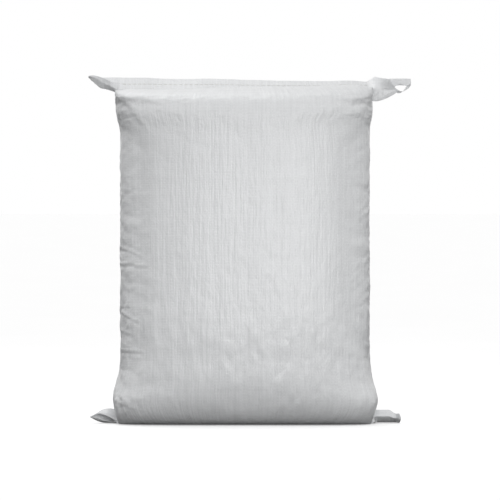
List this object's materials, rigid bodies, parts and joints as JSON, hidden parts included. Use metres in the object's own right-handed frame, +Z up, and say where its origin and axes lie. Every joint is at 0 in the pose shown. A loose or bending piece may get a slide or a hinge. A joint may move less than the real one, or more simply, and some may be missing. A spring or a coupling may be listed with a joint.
{
  "type": "filled woven sack",
  "caption": "Upright pillow sack of white woven polypropylene, filled with dry bulk goods, sewn shut at mouth and foot, with flat corner ears.",
  "frame": {"origin": "middle of the patch that the sack stands on, at the level of the floor", "axes": "+Z up, +Y from the front of the sack to its back, +X to the right as seen from the front"},
  "size_m": [0.501, 0.192, 0.5406],
  "materials": {
    "woven_fabric": "satin",
    "sewing_thread": "matte",
    "bulk_goods": "matte"
  },
  "bodies": {
    "sack": {"woven_sleeve": "woven_fabric", "bulk_fill": "bulk_goods", "foot_hem": "woven_fabric", "foot_needle_thread": "sewing_thread", "foot_looper_thread": "sewing_thread"},
    "mouth": {"top_band": "woven_fabric", "top_needle_thread": "sewing_thread", "top_looper_thread": "sewing_thread"},
    "upper_left": {"top_left_ear": "woven_fabric"},
    "upper_right": {"top_right_ear": "woven_fabric"},
    "lower_left": {"foot_left_ear": "woven_fabric"},
    "lower_right": {"foot_right_ear": "woven_fabric"}
  },
  "joints": [
    {"name": "mouth_fold", "type": "hinge", "parent": "sack", "child": "mouth", "pos_m": [0, 0, 0.5192], "axis": [1, 0, 0], "range_deg": [-15, 75]},
    {"name": "upper_left_fold", "type": "hinge", "parent": "mouth", "child": "upper_left", "pos_m": [-0.1985, 0, 0.5], "axis": [0, 0.5, 0.866], "range_deg": [-45, 45]},
    {"name": "upper_right_fold", "type": "hinge", "parent": "mouth", "child": "upper_right", "pos_m": [0.1985, 0, 0.5], "axis": [0, 0.5, 0.866], "range_deg": [-45, 45]},
    {"name": "lower_left_fold", "type": "hinge", "parent": "sack", "child": "lower_left", "pos_m": [-0.207, 0.012, 0], "axis": [0, 0, 1], "range_deg": [-50, 50]},
    {"name": "lower_right_fold", "type": "hinge", "parent": "sack", "child": "lower_right", "pos_m": [0.207, 0.012, 0], "axis": [0, 0, 1], "range_deg": [-50, 50]}
  ]
}
